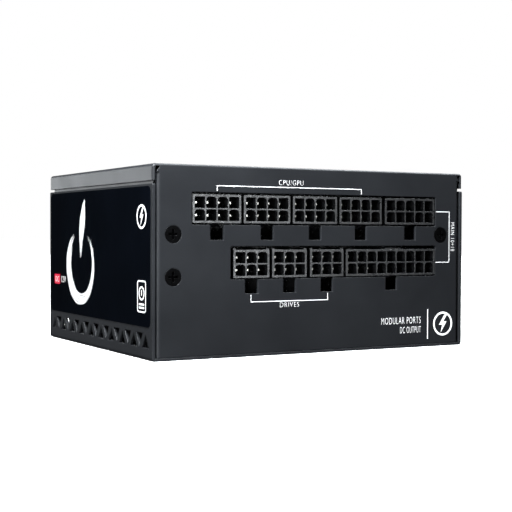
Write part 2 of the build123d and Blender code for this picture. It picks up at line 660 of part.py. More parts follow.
# ---------------------------------------------------------------- mains inlet and switch
flange_proud = 1.8
inlet_depth = 20.0
blade_size = (2.0, 4.0)
cavity = (24.2, 16.6)
cavity_depth = 17.0
blades = ((-7.0, -2.0), (7.0, -2.0), (0.0, 2.0))
with BuildPart() as ac_inlet:
    with BuildSketch(front_plane(rear_y)):
        with Locations((inlet_x, inlet_z)):
            RectangleRounded(*inlet_flange, 2.0)
    extrude(amount=-flange_proud)
    chamfer(faces().sort_by(Axis.Y)[-1].edges(), 0.5)
    with BuildSketch(front_plane(rear_y - inlet_depth)):
        with Locations((inlet_x, inlet_z)):
            RectangleRounded(*inlet_body, 0.8)
    extrude(amount=-inlet_depth)
    # Cavity with two chamfered upper corners, open to the rear
    with BuildSketch(front_plane(rear_y + flange_proud + 0.5)):
        with Locations((inlet_x, inlet_z)):
            with BuildSketch(mode=Mode.PRIVATE) as mouth:
                Rectangle(*cavity)
                chamfer(mouth.vertices().group_by(Axis.Y)[-1], 4.0)
                fillet(mouth.vertices().group_by(Axis.Y)[0], 1.5)
            add(mouth.sketch)
    extrude(amount=cavity_depth + 0.5, mode=Mode.SUBTRACT)
    with BuildSketch(front_plane(rear_y)):
        with Locations(*[(inlet_x + x, inlet_z + z) for x, z in blades]):
            Rectangle(blade_size[0] + 0.1, blade_size[1] + 0.1)
    extrude(amount=inlet_depth + 1, mode=Mode.SUBTRACT)
    # Snap wedges behind the panel
    for side in (-1, 1):
        with BuildSketch(Plane.XY.offset(inlet_z - 3)):
            edge = inlet_x + side * (inlet_body[0] / 2 - slip)
            Polygon(
                (edge, inside_rear - 0.3),
                (edge + side * 1.4, inside_rear - 0.3),
                (edge, inside_rear - 5.0),
                align=None,
            )
        extrude(amount=6)
ac_inlet.part.label = "ac_inlet"
export_step(ac_inlet.part, "parts/ac_inlet.step")

blade_mouth_y = rear_y + flange_proud - 3.0
blade_back_y = rear_y - inlet_depth - 7.0
with BuildPart() as inlet_blades:
    for x, z in blades:
        with BuildSketch(front_plane(blade_mouth_y)):
            with Locations((inlet_x + x, inlet_z + z)):
                Rectangle(*blade_size)
        extrude(amount=blade_mouth_y - (rear_y - inlet_depth - 0.5))
        slab(
            (inlet_x + x - 0.4, inlet_x + x + 0.4),
            (blade_back_y, rear_y - inlet_depth),
            (inlet_z + z - 2.0, inlet_z + z + 2.0),
        )
    chamfer(edges().filter_by_position(Axis.Y, blade_mouth_y - slip, blade_mouth_y + slip), 0.5)
inlet_blades.part.label = "inlet_blades"
export_step(inlet_blades.part, "parts/inlet_blades.step")

pivot_y = rear_y - 2.6
rocker_radius = 8.7
rocker_half_width = 4.6
rocker_tilt = 10.0
stud_hole = 1.25
switch_depth = 16.0
well = (9.6, 18.0)
well_depth = 12.0
terminal_rise = 4.0
terminal = (4.8, 0.8)
terminal_end_y = rear_y - 24.0
with BuildPart() as switch_housing:
    with BuildSketch(front_plane(rear_y)):
        with Locations((switch_x, switch_z)):
            RectangleRounded(*switch_flange, 1.2)
    extrude(amount=-flange_proud)
    chamfer(faces().sort_by(Axis.Y)[-1].edges(), 0.5)
    slab(
        (switch_x - switch_body[0] / 2, switch_x + switch_body[0] / 2),
        (rear_y - switch_depth, rear_y),
        (switch_z - switch_body[1] / 2, switch_z + switch_body[1] / 2),
    )
    slab(
        (switch_x - well[0] / 2 - 0.2, switch_x + well[0] / 2 + 0.2),
        (rear_y - well_depth, rear_y + 3),
        (switch_z - well[1] / 2, switch_z + well[1] / 2),
        Mode.SUBTRACT,
    )
    # Bearing holes for the rocker's two studs
    rod((switch_x - 6.0, pivot_y, switch_z), (1, 0, 0), stud_hole, 12.0, mode=Mode.SUBTRACT)
    for z in (switch_z - terminal_rise, switch_z + terminal_rise):
        slab(
            (switch_x - terminal[0] / 2 - slip, switch_x + terminal[0] / 2 + slip),
            (rear_y - switch_depth - 1, rear_y - well_depth + 1),
            (z - terminal[1] / 2 - slip / 2, z + terminal[1] / 2 + slip / 2),
            Mode.SUBTRACT,
        )
switch_housing.part.label = "switch_housing"
export_step(switch_housing.part, "parts/switch_housing.step")

with BuildPart() as switch_rocker:
    # Side outline in the YZ plane: an arc about the pivot, cut by a shallow V that forms the two faces
    with BuildSketch(Plane.YZ.offset(switch_x - rocker_half_width)) as outline:
        with Locations((pivot_y, switch_z)):
            Circle(rocker_radius)
        with Locations((pivot_y - 4.0 - 10.0, switch_z)):
            Rectangle(20.0, 30.0, mode=Mode.SUBTRACT)
        valley = pivot_y + 3.6
        for side, angle in ((1, 0.0), (-1, 2 * rocker_tilt)):
            rise = 20.0 * math.tan(math.radians(angle))
            Polygon(
                (valley, switch_z),
                (valley + rise, switch_z + side * 20.0),
                (valley + 40.0, switch_z + side * 20.0),
                (valley + 40.0, switch_z),
                align=None,
                mode=Mode.SUBTRACT,
            )
    extrude(amount=2 * rocker_half_width)
    rod((switch_x - 5.9, pivot_y, switch_z), (1, 0, 0), stud_hole - slip / 2, 11.8)
switch_rocker.part.label = "switch_rocker"
export_step(switch_rocker.part, "parts/switch_rocker.step")

with BuildPart() as switch_terminals:
    for z in (switch_z - terminal_rise, switch_z + terminal_rise):
        slab(
            (switch_x - terminal[0] / 2, switch_x + terminal[0] / 2),
            (terminal_end_y, rear_y - well_depth + 0.5),
            (z - terminal[1] / 2, z + terminal[1] / 2),
        )
switch_terminals.part.label = "switch_terminals"
export_step(switch_terminals.part, "parts/switch_terminals.step")

# Mains wires: inlet to switch, switch to board, inlet to board
wire_radius = 1.2
with BuildPart() as mains_wires:
    wire(
        [
            (33.0, blade_back_y, 32.0),
            (33.0, 17.5, 32.0),
            (29.5, 13.2, 31.2),
            (23.5, 11.4, 30.6),
            (17.5, 13.4, 30.2),
            (14.0, 18.5, 30.0),
            (14.0, terminal_end_y, 30.0),
        ],
        wire_radius,
    )
    wire([(14.0, 27.2, 38.5), (14.0, 27.2, 44.0), (14.6, 24.8, 50.0), (14.6, 24.8, board_z)], wire_radius)
    wire(
        [
            (47.0, blade_back_y, 32.0),
            (47.0, 18.0, 32.0),
            (47.0, 14.8, 37.0),
            (46.4, 14.0, 44.0),
            (46.0, 14.6, 50.5),
            (46.0, 14.6, board_z),
        ],
        wire_radius,
    )
mains_wires.part.label = "mains_wires"
export_step(mains_wires.part, "parts/mains_wires.step")

lug_x, lug_z = earth_stud
with BuildPart() as earth_lead:
    # Ring lug with its crimped barrel, and the wire up to the inlet's earth blade
    rod((lug_x, inside_rear, lug_z), (0, -1, 0), 3.4, 0.8)
    slab((lug_x - 1.6, lug_x + 1.6), (inside_rear - 0.8, inside_rear), (lug_z + 2.4, lug_z + 6.4))
    rod((lug_x, inside_rear - 1.8, lug_z + 5.0), (0, 0, 1), 1.8, 5.0)
    rod((lug_x, inside_rear + 1, lug_z), (0, -1, 0), 1.55, 4, mode=Mode.SUBTRACT)
    wire(
        [
            (lug_x, inside_rear - 1.8, lug_z + 8.0),
            (lug_x, inside_rear - 2.2, 31.0),
            (lug_x, 43.5, 38.0),
            (55.4, 38.0, 44.6),
            (53.0, 31.0, 48.0),
            (47.0, 26.0, 48.8),
            (40.0, 24.8, 46.4),
            (40.0, 24.8, 38.1),
        ],
        wire_radius,
    )
earth_lead.part.label = "earth_lead"
export_step(earth_lead.part, "parts/earth_lead.step")

with BuildPart() as earth_nut:
    with BuildSketch(front_plane(inside_rear - 0.8)):
        with Locations((lug_x, lug_z)):
            RegularPolygon(3.1, 6)
            Circle(1.55, mode=Mode.SUBTRACT)
    extrude(amount=2.4)
earth_nut.part.label = "earth_nut"
export_step(earth_nut.part, "parts/earth_nut.step")

# ---------------------------------------------------------------- parts on the main board, hanging down
line_choke_x, line_choke_z = 48.0, 46.4
line_choke_y = (-21.4, -2.4)
line_choke_ring = (6.2, 2.9)
pfc_choke_place = (-9.0, 32.0, 42.8)
pfc_choke_ring = (9.4, 4.6)
bulk_x, bulk_y = 24.0, -16.6
bulk_radius = 12.6
bulk_bottom = 20.5
heatsink_y = (-28.0, 20.0)
heatsink_bottom = 22.0
transistor_y = (-22.0, -10.0, 2.0, 13.0)
transistor_half_width = 4.8
bridge_leg_y = (4.0, 8.4, 12.8, 17.0)
core_x, core_y = -15.5, -7.0
core_z = (27.0, 54.5)
core_post = 5.6
winding_radius = 11.2
fin_z = (27.0, 32.0, 37.0, 42.0)
output_x = (-42.6, -51.4)
output_y = (-21.6, -12.4, -3.2, 6.0)
output_radius = 4.0
output_bottom = 37.0

with BuildPart() as line_chokes:
    for y in line_choke_y:
        with Locations(Plane(origin=(line_choke_x, y, line_choke_z), z_dir=(1, 0, 0)).location):
            Torus(*line_choke_ring)
        slab((line_choke_x - 4, line_choke_x + 4), (y - 5, y + 5), (54.6, board_z))
line_chokes.part.label = "line_chokes"
export_step(line_chokes.part, "parts/line_chokes.step")

with BuildPart() as x_capacitors:
    slab((33.0, 41.0), (-8.0, 10.0), (42.0, board_z))
    slab((7.4, 25.0), (28.0, 37.0), (47.2, board_z))
    fillet(edges().filter_by(Axis.Z), 0.8)
x_capacitors.part.label = "x_capacitors"
export_step(x_capacitors.part, "parts/x_capacitors.step")

with BuildPart() as y_capacitors:
    for x in (30.0, 35.5):
        rod((x - 1.6, 31.0, 52.4), (1, 0, 0), 3.8, 3.2)
        for y in (29.0, 33.0):
            rod((x, y, 54.0), (0, 0, 1), 0.4, board_z - 54.0)
y_capacitors.part.label = "y_capacitors"
export_step(y_capacitors.part, "parts/y_capacitors.step")

with BuildPart() as fuse:
    rod((29.0, 40.0, 52.6), (1, 0, 0), 2.6, 20.0)
    for x in (30.5, 47.5):
        slab((x - 1, x + 1), (37.2, 42.8), (52.6, board_z))
fuse.part.label = "fuse"
export_step(fuse.part, "parts/fuse.step")

with BuildPart() as inrush_relay:
    slab((16.6, 31.4), (1.0, 12.6), (42.4, board_z))
    fillet(edges().filter_by(Axis.Z), 0.6)
inrush_relay.part.label = "inrush_relay"
export_step(inrush_relay.part, "parts/inrush_relay.step")

with BuildPart() as bulk_capacitor:
    rod((bulk_x, bulk_y, bulk_bottom), (0, 0, 1), bulk_radius, board_z - bulk_bottom)
    fillet(edges().filter_by(GeomType.CIRCLE), 1.2)
bulk_capacitor.part.label = "bulk_capacitor"
export_step(bulk_capacitor.part, "parts/bulk_capacitor.step")

with BuildPart() as pfc_choke:
    with Locations(Plane(origin=pfc_choke_place, z_dir=(0, 1, 0)).location):
        Torus(*pfc_choke_ring)
    slab((-18, 0), (26.5, 37.5), (55.6, board_z))
pfc_choke.part.label = "pfc_choke"
export_step(pfc_choke.part, "parts/pfc_choke.step")

with BuildPart() as primary_heatsink:
    slab((7.0, 9.4), heatsink_y, (heatsink_bottom, board_z))
    slab((-0.6, 7.0), heatsink_y, (heatsink_bottom, heatsink_bottom + 2.2))
    for y in (-26.0, 18.0):
        slab((7.6, 8.8), (y - 1, y + 1), (board_z - 1, board_z))
primary_heatsink.part.label = "primary_heatsink"
export_step(primary_heatsink.part, "parts/primary_heatsink.step")

with BuildPart() as power_transistors:
    for y in transistor_y:
        slab((2.6, 7.0), (y - transistor_half_width, y + transistor_half_width), (32.0, 46.0))
        for leg in (-2.5, 0.0, 2.5):
            slab((4.0, 4.7), (y + leg - 0.4, y + leg + 0.4), (46.0, board_z))
power_transistors.part.label = "power_transistors"
export_step(power_transistors.part, "parts/power_transistors.step")

with BuildPart() as bridge_rectifier:
    slab((9.4, 13.4), (2.0, 19.0), (34.0, 48.0))
    for y in bridge_leg_y:
        slab((11.0, 11.8), (y - 0.5, y + 0.5), (48.0, board_z))
bridge_rectifier.part.label = "bridge_rectifier"
export_step(bridge_rectifier.part, "parts/bridge_rectifier.step")

with BuildPart() as transformer_core:
    slab((-30.0, -1.0), (-20.0, 6.0), core_z)
    slab((-27.0, -4.0), (-21.0, 7.0), (core_z[0] + 4, core_z[1] - 4), Mode.SUBTRACT)
    rod((core_x, core_y, core_z[0] + 1), (0, 0, 1), core_post, core_z[1] - core_z[0] - 2)
transformer_core.part.label = "transformer_core"
export_step(transformer_core.part, "parts/transformer_core.step")

with BuildPart() as transformer_windings:
    rod((core_x, core_y, core_z[0] + 4.2), (0, 0, 1), winding_radius, core_z[1] - core_z[0] - 8.4)
    fillet(edges().filter_by(GeomType.CIRCLE), 0.8)
    rod((core_x, core_y, core_z[0]), (0, 0, 1), core_post + slip, 40, mode=Mode.SUBTRACT)
transformer_windings.part.label = "transformer_windings"
export_step(transformer_windings.part, "parts/transformer_windings.step")

with BuildPart() as secondary_heatsink:
    slab((-34.4, -32.4), heatsink_y, (heatsink_bottom + 2, board_z))
    for z in fin_z:
        slab((-38.4, -34.4), heatsink_y, (z - 0.6, z + 0.6))
secondary_heatsink.part.label = "secondary_heatsink"
export_step(secondary_heatsink.part, "parts/secondary_heatsink.step")

with BuildPart() as output_capacitors:
    for x in output_x:
        for y in output_y:
            rod((x, y, output_bottom), (0, 0, 1), output_radius, board_z - output_bottom)
    fillet(edges().filter_by(GeomType.CIRCLE).group_by(Axis.Z)[0], 0.6)
output_capacitors.part.label = "output_capacitors"
export_step(output_capacitors.part, "parts/output_capacitors.step")

with BuildPart() as standby_transformer:
    slab((-48.0, -34.0), (26.0, 40.0), (42.0, 55.0))
    slab((-50.0, -32.0), (28.6, 37.4), (44.4, 53.0))
    slab((-47.0, -35.0), (27.0, 39.0), (55.0, board_z))
standby_transformer.part.label = "standby_transformer"
export_step(standby_transformer.part, "parts/standby_transformer.step")

with BuildPart() as control_board:
    slab((-29.2, -28.0), (14.0, 44.0), (33.0, board_z))
    for y in (20.0, 29.0, 38.0):
        slab((-28.0, -26.6), (y - 2.6, y + 2.6), (40.0, 46.0))
control_board.part.label = "control_board"
export_step(control_board.part, "parts/control_board.step")

# ---------------------------------------------------------------- labels
label_thickness = 0.15
label_corner = 2.0
side_label_y = (-48.5, 48.5)
side_label_z = (10.8, 56.3)
rating_label_size = (92.0, 66.0)


def side_label(side):
    """A thin printed sheet with rounded corners on one side wall."""
    inner = side_x if side > 0 else -side_x - label_thickness
    with BuildSketch(Plane.YZ.offset(inner)) as outline:
        with Locations((sum(side_label_y) / 2, sum(side_label_z) / 2)):
            RectangleRounded(
                side_label_y[1] - side_label_y[0],
                side_label_z[1] - side_label_z[0],
                label_corner,
            )
    extrude(outline.sketch, amount=label_thickness)


with BuildPart() as left_label:
    side_label(-1)
left_label.part.label = "left_label"
export_step(left_label.part, "parts/left_label.step")

with BuildPart() as right_label:
    side_label(1)
right_label.part.label = "right_label"
export_step(right_label.part, "parts/right_label.step")

with BuildPart() as rating_label:
    with BuildSketch(Plane.XY.offset(case_height)):
        RectangleRounded(*rating_label_size, label_corner)
    extrude(amount=label_thickness)
rating_label.part.label = "rating_label"
export_step(rating_label.part, "parts/rating_label.step")
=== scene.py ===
import math
import random

import bmesh
import bpy
from mathutils import Matrix, Vector
from mathutils.geometry import tessellate_polygon


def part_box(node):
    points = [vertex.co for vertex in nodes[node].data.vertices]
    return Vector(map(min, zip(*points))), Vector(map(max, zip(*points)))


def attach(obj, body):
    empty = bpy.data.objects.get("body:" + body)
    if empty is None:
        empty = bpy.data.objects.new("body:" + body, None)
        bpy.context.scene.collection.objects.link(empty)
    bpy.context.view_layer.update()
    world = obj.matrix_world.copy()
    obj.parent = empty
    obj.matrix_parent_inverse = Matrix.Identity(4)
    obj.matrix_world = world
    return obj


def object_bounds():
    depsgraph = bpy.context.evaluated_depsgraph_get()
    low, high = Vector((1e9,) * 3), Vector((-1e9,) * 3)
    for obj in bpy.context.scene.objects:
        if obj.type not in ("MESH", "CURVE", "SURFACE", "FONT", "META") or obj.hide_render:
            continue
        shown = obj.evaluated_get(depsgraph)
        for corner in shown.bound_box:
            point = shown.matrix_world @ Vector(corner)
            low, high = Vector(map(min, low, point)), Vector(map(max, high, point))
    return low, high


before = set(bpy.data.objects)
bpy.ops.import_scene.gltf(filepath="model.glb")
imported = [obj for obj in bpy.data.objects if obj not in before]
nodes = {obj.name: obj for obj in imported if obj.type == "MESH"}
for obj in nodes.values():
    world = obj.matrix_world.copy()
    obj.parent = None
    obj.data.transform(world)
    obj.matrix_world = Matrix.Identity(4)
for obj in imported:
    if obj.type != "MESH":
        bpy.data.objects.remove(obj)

cad_low, cad_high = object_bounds()
scene = bpy.context.scene
scene.view_settings.view_transform = "Standard"
MM = 0.001

# ---------------------------------------------------------------- places, read from the parts of model.glb, in metres
shell_low, shell_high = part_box("chassis_shell")
left_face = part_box("left_label")[0].x
right_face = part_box("right_label")[1].x
top_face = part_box("rating_label")[1].z
label_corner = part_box("rating_label")[0]

# ---------------------------------------------------------------- camera
CAMERA_PLACE = Vector((-206.97, -378.89, 41.22)) * MM
CAMERA_YAW, CAMERA_PITCH, CAMERA_ROLL = math.radians(28.98), math.radians(-1.158), math.radians(0.192)
SENSOR = 36.0
IMAGE_SIDE = 512
FOCAL_PIXELS = 1125.3
CLIP_START = 0.01


def make_camera():
    """The photo's camera, as fitted to the corners of the case."""
    forward = Vector((
        math.sin(CAMERA_YAW) * math.cos(CAMERA_PITCH),
        math.cos(CAMERA_YAW) * math.cos(CAMERA_PITCH),
        math.sin(CAMERA_PITCH),
    ))
    level = Vector((math.cos(CAMERA_YAW), -math.sin(CAMERA_YAW), 0))
    upright = level.cross(forward)
    right = level * math.cos(CAMERA_ROLL) + upright * math.sin(CAMERA_ROLL)
    up = upright * math.cos(CAMERA_ROLL) - level * math.sin(CAMERA_ROLL)
    data = bpy.data.cameras.new("camera")
    data.sensor_width = SENSOR
    data.lens = FOCAL_PIXELS / IMAGE_SIDE * SENSOR
    data.clip_start = CLIP_START
    camera = bpy.data.objects.new("camera", data)
    scene.collection.objects.link(camera)
    turn = Matrix((right, up, -forward)).transposed()
    camera.matrix_world = Matrix.Translation(CAMERA_PLACE) @ turn.to_4x4()
    scene.camera = camera


make_camera()


# ---------------------------------------------------------------- material building blocks
BEVEL_SAMPLES = 6


class Finish:
    """A procedural material on one shader, built up in short steps in object space."""

    def __init__(self, name, colour, roughness, metallic=0.0, specular=0.5, edge_mm=0.0):
        self.material = bpy.data.materials.new(name)
        self.material.use_nodes = True
        self.tree = self.material.node_tree
        self.shader = self.tree.nodes["Principled BSDF"]
        self.shader.inputs["Base Color"].default_value = (*colour, 1)
        self.shader.inputs["Roughness"].default_value = roughness
        self.shader.inputs["Metallic"].default_value = metallic
        self.shader.inputs["Specular IOR Level"].default_value = specular
        self.place = self.tree.nodes.new("ShaderNodeTexCoord").outputs["Object"]
        self.height = None
        if edge_mm:
            rounded_edge = self.node("ShaderNodeBevel", {"Radius": edge_mm * MM}, samples=BEVEL_SAMPLES)
            self.height = rounded_edge.outputs["Normal"]
            self.tree.links.new(self.height, self.shader.inputs["Normal"])

    def node(self, kind, inputs=None, **settings):
        made = self.tree.nodes.new(kind)
        for key, value in settings.items():
            setattr(made, key, value)
        for key, value in (inputs or {}).items():
            if isinstance(value, bpy.types.NodeSocket):
                self.tree.links.new(value, made.inputs[key])
            else:
                made.inputs[key].default_value = value
        return made

    def noise(self, size_mm, detail=3.0, stretch=(1, 1, 1)):
        """Noise whose blobs are about size_mm across, pulled out along an axis by stretch."""
        squeeze = tuple(1 / s for s in stretch)
        scaled = self.node("ShaderNodeMapping", {"Vector": self.place, "Scale": squeeze})
        kind = {"Vector": scaled.outputs[0], "Scale": 1000 / size_mm, "Detail": detail}
        return self.node("ShaderNodeTexNoise", kind).outputs["Fac"]

    def cells(self, size_mm, randomness):
        """Distance from the middle of cells that are about size_mm across."""
        kind = {"Vector": self.place, "Scale": 1000 / size_mm, "Randomness": randomness}
        return self.node("ShaderNodeTexVoronoi", kind).outputs["Distance"]

    def ramp(self, value, low, high, low_to=0.0, high_to=1.0):
        kind = {"Value": value, "From Min": low, "From Max": high, "To Min": low_to, "To Max": high_to}
        return self.node("ShaderNodeMapRange", kind).outputs["Result"]

    def tint(self, factor, first, second):
        """Colour between two shades by a factor, set as the base colour."""
        mix = self.node("ShaderNodeMix", {0: factor}, data_type="RGBA")
        mix.inputs[6].default_value = (*first, 1)
        mix.inputs[7].default_value = (*second, 1)
        self.tree.links.new(mix.outputs[2], self.shader.inputs["Base Color"])
        return mix.outputs[2]

    def layer(self, under, factor, colour):
        """Another colour laid over the last one by a factor."""
        mix = self.node("ShaderNodeMix", {0: factor, 6: under}, data_type="RGBA")
        mix.inputs[7].default_value = (*colour, 1)
        self.tree.links.new(mix.outputs[2], self.shader.inputs["Base Color"])
        return mix.outputs[2]

    def rough(self, value, low, high, low_to, high_to):
        self.tree.links.new(self.ramp(value, low, high, low_to, high_to), self.shader.inputs["Roughness"])

    def bump(self, value, depth_mm, strength=1.0):
        kind = {"Height": value, "Strength": strength, "Distance": depth_mm * MM}
        if self.height is not None:
            kind["Normal"] = self.height
        made = self.node("ShaderNodeBump", kind)
        self.height = made.outputs["Normal"]
        self.tree.links.new(self.height, self.shader.inputs["Normal"])


def shade(colour, factor):
    return tuple(min(1.0, c * factor) for c in colour)


def powder_paint(name, colour, roughness=0.46, specular=0.5, edge_mm=0.3):
    """Fine powder coat: a shallow orange peel, faint mottling and a little dust in its grain."""
    finish = Finish(name, colour, roughness, specular=specular, edge_mm=edge_mm)
    mottle = finish.noise(22.0, detail=4.0)
    speck = finish.noise(0.5, detail=2.0)
    base = finish.tint(finish.ramp(mottle, 0.3, 0.7), shade(colour, 0.88), shade(colour, 1.12))
    finish.layer(base, finish.ramp(speck, 0.62, 0.78, 0.0, 0.35), shade(colour, 1.9))
    finish.rough(mottle, 0.3, 0.7, roughness - 0.04, roughness + 0.05)
    finish.bump(finish.noise(0.9, detail=2.0), 0.012)
    finish.bump(finish.noise(0.28, detail=1.0), 0.006)
    return finish.material


def moulded_plastic(name, colour, roughness=0.4, grain_mm=0.35, depth_mm=0.006, specular=0.5, edge_mm=0.0):
    """Moulded plastic: a fine spark-eroded grain with faint flow marks."""
    finish = Finish(name, colour, roughness, specular=specular, edge_mm=edge_mm)
    flow = finish.noise(5.0, detail=3.0, stretch=(1, 1, 2.5))
    finish.tint(finish.ramp(flow, 0.3, 0.7), shade(colour, 0.85), shade(colour, 1.2))
    finish.rough(finish.noise(1.6), 0.3, 0.7, roughness - 0.07, roughness + 0.08)
    finish.bump(finish.noise(grain_mm, detail=2.0), depth_mm)
    return finish.material


def plain_metal(name, colour, roughness=0.3, stretch=(1, 1, 1), grain_mm=0.3, tarnish=0.75, edge_mm=0.0):
    """Bare or plated metal with rolling or turning marks and a little tarnish."""
    finish = Finish(name, colour, roughness, metallic=1.0, edge_mm=edge_mm)
    stain = finish.noise(3.0, detail=5.0)
    finish.tint(finish.ramp(stain, 0.42, 0.75), colour, shade(colour, tarnish))
    finish.rough(finish.noise(grain_mm, stretch=stretch), 0.3, 0.7, roughness - 0.08, roughness + 0.1)
    finish.bump(finish.noise(grain_mm, stretch=stretch), 0.004)
    return finish.material


def wound_wire(name, colour, wire_mm, roughness=0.32):
    """Enamelled turns of wire, lying side by side up the coil, with painted shade in the grooves between
    them.
    """
    finish = Finish(name, colour, roughness, metallic=0.85)
    bands = {"Vector": finish.place, "Scale": 1000 / wire_mm / 20, "Distortion": 0.3, "Detail": 1.0}
    turns = finish.node("ShaderNodeTexWave", bands, bands_direction="Z").outputs["Fac"]
    # Painted shade: the colour drops to about a third of the wire's where the bump is low, in the grooves
    # between turns
    finish.tint(turns, shade(colour, 0.35), colour)
    finish.bump(turns, wire_mm * 0.3)
    finish.rough(finish.noise(2.0), 0.3, 0.7, roughness - 0.06, roughness + 0.1)
    return finish.material


SOLDER = (0.62, 0.6, 0.55)


def circuit_board(name, mask, trace):
    """Solder mask over copper: straight tracks under the mask, pads and a glassy coat."""
    finish = Finish(name, mask, 0.28)
    blocks = {
        "Vector": finish.place, "Scale": 260.0,
        "Mortar Size": 0.04, "Brick Width": 0.9, "Row Height": 0.35,
    }
    tracks = finish.node("ShaderNodeTexBrick", blocks).outputs["Fac"]
    base = finish.tint(tracks, mask, trace)
    pads = finish.ramp(finish.cells(2.6, 0.2), 0.1, 0.14, 1.0, 0.0)
    finish.layer(base, pads, SOLDER)
    finish.bump(tracks, 0.03)
    finish.rough(finish.noise(4.0), 0.3, 0.7, 0.2, 0.36)
    return finish.material


def printed_film(name, colour, roughness=0.38, specular=0.1):
    """Printed label: an even ink film with a faint fibre grain and slight waviness from its glue."""
    finish = Finish(name, colour, roughness, specular=specular)
    cloud = finish.noise(30.0, detail=3.0)
    finish.tint(finish.ramp(cloud, 0.3, 0.7), shade(colour, 0.8), shade(colour, 1.25))
    finish.rough(finish.noise(8.0), 0.3, 0.7, roughness - 0.05, roughness + 0.06)
    finish.bump(finish.noise(0.25, detail=2.0), 0.002)
    finish.bump(finish.noise(14.0, detail=1.0), 0.02, 0.4)
    return finish.material


def ink(name, colour, roughness=0.5):
    """Screen-printed ink: slightly uneven cover with a fine mesh grain."""
    finish = Finish(name, colour, roughness)
    patch = finish.noise(0.6, detail=3.0)
    finish.tint(finish.ramp(patch, 0.3, 0.75), colour, shade(colour, 0.86))
    finish.rough(patch, 0.3, 0.7, roughness - 0.08, roughness + 0.08)
    finish.bump(finish.noise(0.12, detail=1.0), 0.003)
    return finish.material


# ---------------------------------------------------------------- finishes of the CAD nodes
BLACK = (0.0095, 0.0102, 0.0118)
paint = powder_paint("case_paint", BLACK, specular=0.26)
guard_paint = powder_paint("guard_paint", shade(BLACK, 0.85), 0.42, 0.26, edge_mm=0.15)
socket_plastic = moulded_plastic("socket_plastic", (0.007, 0.0072, 0.0082), 0.3, specular=0.35, edge_mm=0.14)
inlet_plastic = moulded_plastic("inlet_plastic", (0.012, 0.012, 0.013), 0.42, edge_mm=0.2)
rocker_plastic = moulded_plastic("rocker_plastic", (0.014, 0.014, 0.015), 0.26, 0.8, 0.003, edge_mm=0.3)
fan_plastic = moulded_plastic("fan_plastic", (0.013, 0.013, 0.014), 0.38)
nylon = moulded_plastic("natural_nylon", (0.72, 0.69, 0.6), 0.42)
epoxy = moulded_plastic("epoxy", (0.018, 0.018, 0.019), 0.55, 0.2, 0.01)
relay_case = moulded_plastic("relay_case", (0.03, 0.09, 0.28), 0.3)
film_box = moulded_plastic("film_capacitor_box", (0.62, 0.42, 0.04), 0.33)
ceramic = moulded_plastic("dipped_ceramic", (0.05, 0.14, 0.4), 0.25, 1.2, 0.02)
label_film = printed_film("label_film", (0.0008, 0.0012, 0.0022), specular=0.03)
white_ink = ink("white_ink", (0.86, 0.86, 0.86))
red_ink = ink("red_ink", (0.62, 0.012, 0.045))
black_steel = plain_metal("black_oxide", (0.014, 0.014, 0.015), 0.4, edge_mm=0.12)
zinc = plain_metal("zinc_plate", (0.62, 0.63, 0.65), 0.28)
tin = plain_metal("tin_plate", (0.85, 0.83, 0.76), 0.2)
shaft_steel = plain_metal("ground_steel", (0.6, 0.6, 0.61), 0.16, (8, 8, 0.3))
bronze = plain_metal("sintered_bronze", (0.55, 0.34, 0.14), 0.45, grain_mm=0.15)
heatsink = plain_metal("mill_aluminium", (0.78, 0.79, 0.8), 0.34, (1, 14, 1))
copper_bar = plain_metal("copper_bar", (0.86, 0.42, 0.24), 0.3, (1, 6, 6), tarnish=0.6)
lamination = plain_metal("lamination_steel", (0.32, 0.33, 0.35), 0.4, (6, 6, 0.4))
ferrite = moulded_plastic("ferrite", (0.05, 0.048, 0.046), 0.5, 0.15, 0.02)
fan_coil = wound_wire("fan_coil_wire", (0.75, 0.3, 0.13), 0.3)
choke_coil = wound_wire("choke_wire", (0.8, 0.34, 0.14), 1.0)
tape = moulded_plastic("winding_tape", (0.68, 0.45, 0.03), 0.35, 2.0, 0.02)
board_mask = circuit_board("board_mask", (0.008, 0.055, 0.022), (0.012, 0.1, 0.04))
black_mask = circuit_board("black_board_mask", (0.004, 0.004, 0.005), (0.008, 0.008, 0.009))
sleeve = printed_film("capacitor_sleeve", (0.012, 0.012, 0.016), 0.22, 0.5)
film_sheet = printed_film("insulating_film", (0.5, 0.47, 0.36), 0.3, 0.5)
black_wire = moulded_plastic("black_insulation", (0.012, 0.012, 0.012), 0.4, 0.6, 0.01)
green_wire = moulded_plastic("green_insulation", (0.05, 0.3, 0.03), 0.4, 0.6, 0.01)
fuse_glass = moulded_plastic("fuse_tube", (0.6, 0.62, 0.6), 0.12, 1.5, 0.004)

